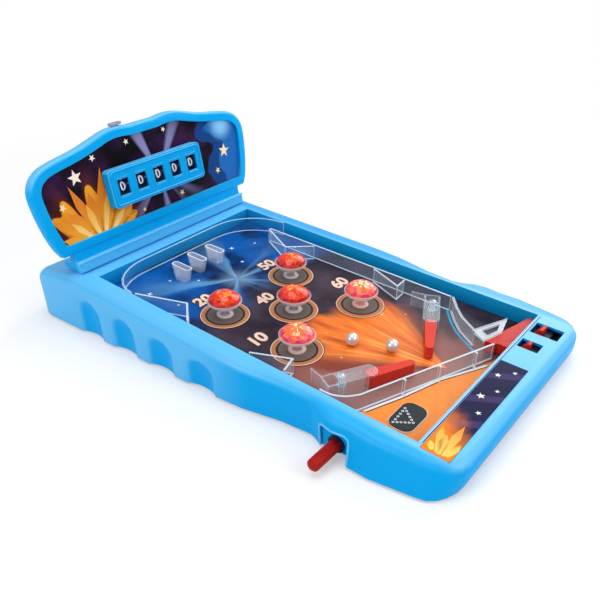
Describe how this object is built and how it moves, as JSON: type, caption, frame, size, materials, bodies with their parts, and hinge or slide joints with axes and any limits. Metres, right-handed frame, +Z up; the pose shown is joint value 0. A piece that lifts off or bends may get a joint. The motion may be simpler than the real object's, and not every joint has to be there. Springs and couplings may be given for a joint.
{
  "type": "tabletop pinball game",
  "caption": "Small free-standing pinball toy with a sloped open play field, clear rails, round bumpers, button-driven flippers, a finger launcher and a leaning backboard.",
  "frame": {"origin": "on the table, under the middle of the box around the whole game", "axes": "+X to the player's right, +Y from the player to the backboard, +Z up"},
  "size_m": [0.285, 0.462, 0.1762],
  "materials": {
    "blue_plastic": "glossy moulded sky-blue plastic",
    "dark_plastic": "satin dark blue plastic",
    "rubber": "matt black rubber",
    "circuit_green": "green circuit board with dark chips",
    "printed_field": "printed board: blue rays, grey middle and orange flames under gloss",
    "printed_label": "printed navy, violet and orange card under gloss",
    "black_plastic": "dark grille with white rings at its holes",
    "clear_plastic": "clear moulded plastic",
    "red_lens": "clear red and orange faceted plastic",
    "red_plastic": "glossy red plastic",
    "spring_steel": "bright steel",
    "ball_steel": "polished steel",
    "grey_plastic": "grey plastic"
  },
  "bodies": {
    "cabinet": {"case_top": "blue_plastic", "bottom_cover": "dark_plastic", "battery_door": "dark_plastic", "battery_1": "spring_steel", "battery_2": "spring_steel", "foot_1": "rubber", "foot_2": "rubber", "foot_3": "rubber", "foot_4": "rubber", "circuit_board": "circuit_green", "playfield_board": "printed_field", "apron_label": "printed_label", "speaker_grille": "black_plastic", "speaker": "spring_steel", "arch_rail": "clear_plastic", "lane_rail": "clear_plastic", "upper_left_deflector": "clear_plastic", "upper_right_deflector": "clear_plastic", "lower_left_deflector": "clear_plastic", "lower_right_deflector": "clear_plastic", "drain_rail": "clear_plastic", "launch_guide": "clear_plastic", "lane_guide_1": "clear_plastic", "lane_guide_2": "clear_plastic", "lane_guide_3": "clear_plastic", "bumper_post_1": "clear_plastic", "bumper_cap_1": "red_lens", "bumper_post_2": "clear_plastic", "bumper_cap_2": "red_lens", "bumper_post_3": "clear_plastic", "bumper_cap_3": "red_lens", "bumper_post_4": "clear_plastic", "bumper_cap_4": "red_lens", "bumper_post_5": "clear_plastic", "bumper_cap_5": "red_lens", "left_flipper_guard": "clear_plastic", "right_flipper_guard": "clear_plastic", "left_button_spring": "spring_steel", "right_button_spring": "spring_steel", "left_button_bush": "dark_plastic", "right_button_bush": "dark_plastic", "launcher_spring": "spring_steel", "backboard_frame": "blue_plastic", "backboard_rear_cover": "blue_plastic", "backboard_panel": "printed_label", "score_bezel": "blue_plastic", "score_axle": "spring_steel"},
    "left_flipper": {"left_flipper": "red_plastic"},
    "right_flipper": {"right_flipper": "red_plastic"},
    "left_button": {"left_button": "red_plastic"},
    "right_button": {"right_button": "red_plastic"},
    "launcher": {"launcher_lever": "red_plastic"},
    "score_wheel_1": {"score_wheel_1": "dark_plastic"},
    "score_wheel_2": {"score_wheel_2": "dark_plastic"},
    "score_wheel_3": {"score_wheel_3": "dark_plastic"},
    "score_wheel_4": {"score_wheel_4": "dark_plastic"},
    "score_wheel_5": {"score_wheel_5": "dark_plastic"},
    "power_switch": {"power_switch": "grey_plastic"},
    "ball_1": {"ball_1": "ball_steel"},
    "ball_2": {"ball_2": "ball_steel"}
  },
  "joints": [
    {"name": "left_button_push", "type": "slide", "parent": "cabinet", "child": "left_button", "axis": [1, 0, 0], "range_m": [0, 0.0098], "stiffness_N_per_m": 120, "springref_m": -0.006, "deforming": ["left_button_spring"]},
    {"name": "right_button_push", "type": "slide", "parent": "cabinet", "child": "right_button", "axis": [-1, 0, 0], "range_m": [0, 0.0098], "stiffness_N_per_m": 120, "springref_m": -0.006, "deforming": ["right_button_spring"]},
    {"name": "left_flipper_turn", "type": "hinge", "parent": "cabinet", "child": "left_flipper", "pos_m": [-0.05346, -0.12907, 0.01947], "axis": [0, -0.0813, 0.9967], "range_deg": [0, 48.18]},
    {"name": "right_flipper_turn", "type": "hinge", "parent": "cabinet", "child": "right_flipper", "pos_m": [0.03445, -0.12907, 0.01947], "axis": [0, 0.0813, -0.9967], "range_deg": [0, 48.18]},
    {"name": "launcher_pull", "type": "hinge", "parent": "cabinet", "child": "launcher", "pos_m": [0.02249, -0.20384, 0.01337], "axis": [0, 0.0813, -0.9967], "range_deg": [0, 10], "stiffness_Nm_per_rad": 0.08, "springref_deg": -11.46},
    {"name": "score_wheel_1_turn", "type": "hinge", "parent": "cabinet", "child": "score_wheel_1", "pos_m": [-0.0426, 0.16396, 0.12036], "axis": [1, 0, 0], "continuous": true},
    {"name": "score_wheel_2_turn", "type": "hinge", "parent": "cabinet", "child": "score_wheel_2", "pos_m": [-0.0213, 0.16396, 0.12036], "axis": [1, 0, 0], "continuous": true},
    {"name": "score_wheel_3_turn", "type": "hinge", "parent": "cabinet", "child": "score_wheel_3", "pos_m": [0, 0.16396, 0.12036], "axis": [1, 0, 0], "continuous": true},
    {"name": "score_wheel_4_turn", "type": "hinge", "parent": "cabinet", "child": "score_wheel_4", "pos_m": [0.0213, 0.16396, 0.12036], "axis": [1, 0, 0], "continuous": true},
    {"name": "score_wheel_5_turn", "type": "hinge", "parent": "cabinet", "child": "score_wheel_5", "pos_m": [0.0426, 0.16396, 0.12036], "axis": [1, 0, 0], "continuous": true},
    {"name": "power_switch_slide", "type": "slide", "parent": "cabinet", "child": "power_switch", "axis": [1, 0, 0], "range_m": [0, 0.005]},
    {"name": "ball_1_roll", "type": "slide", "parent": "cabinet", "child": "ball_1", "axis": [0, 0.9967, 0.0813], "range_m": [-0.018, 0.03]},
    {"name": "ball_2_roll", "type": "slide", "parent": "cabinet", "child": "ball_2", "axis": [0, 0.9967, 0.0813], "range_m": [0, 0.03]}
  ],
  "couplings": [
    {"joint": "left_flipper_turn", "follows": "left_button_push", "rad_per_m": 85.714},
    {"joint": "right_flipper_turn", "follows": "right_button_push", "rad_per_m": 85.714}
  ]
}
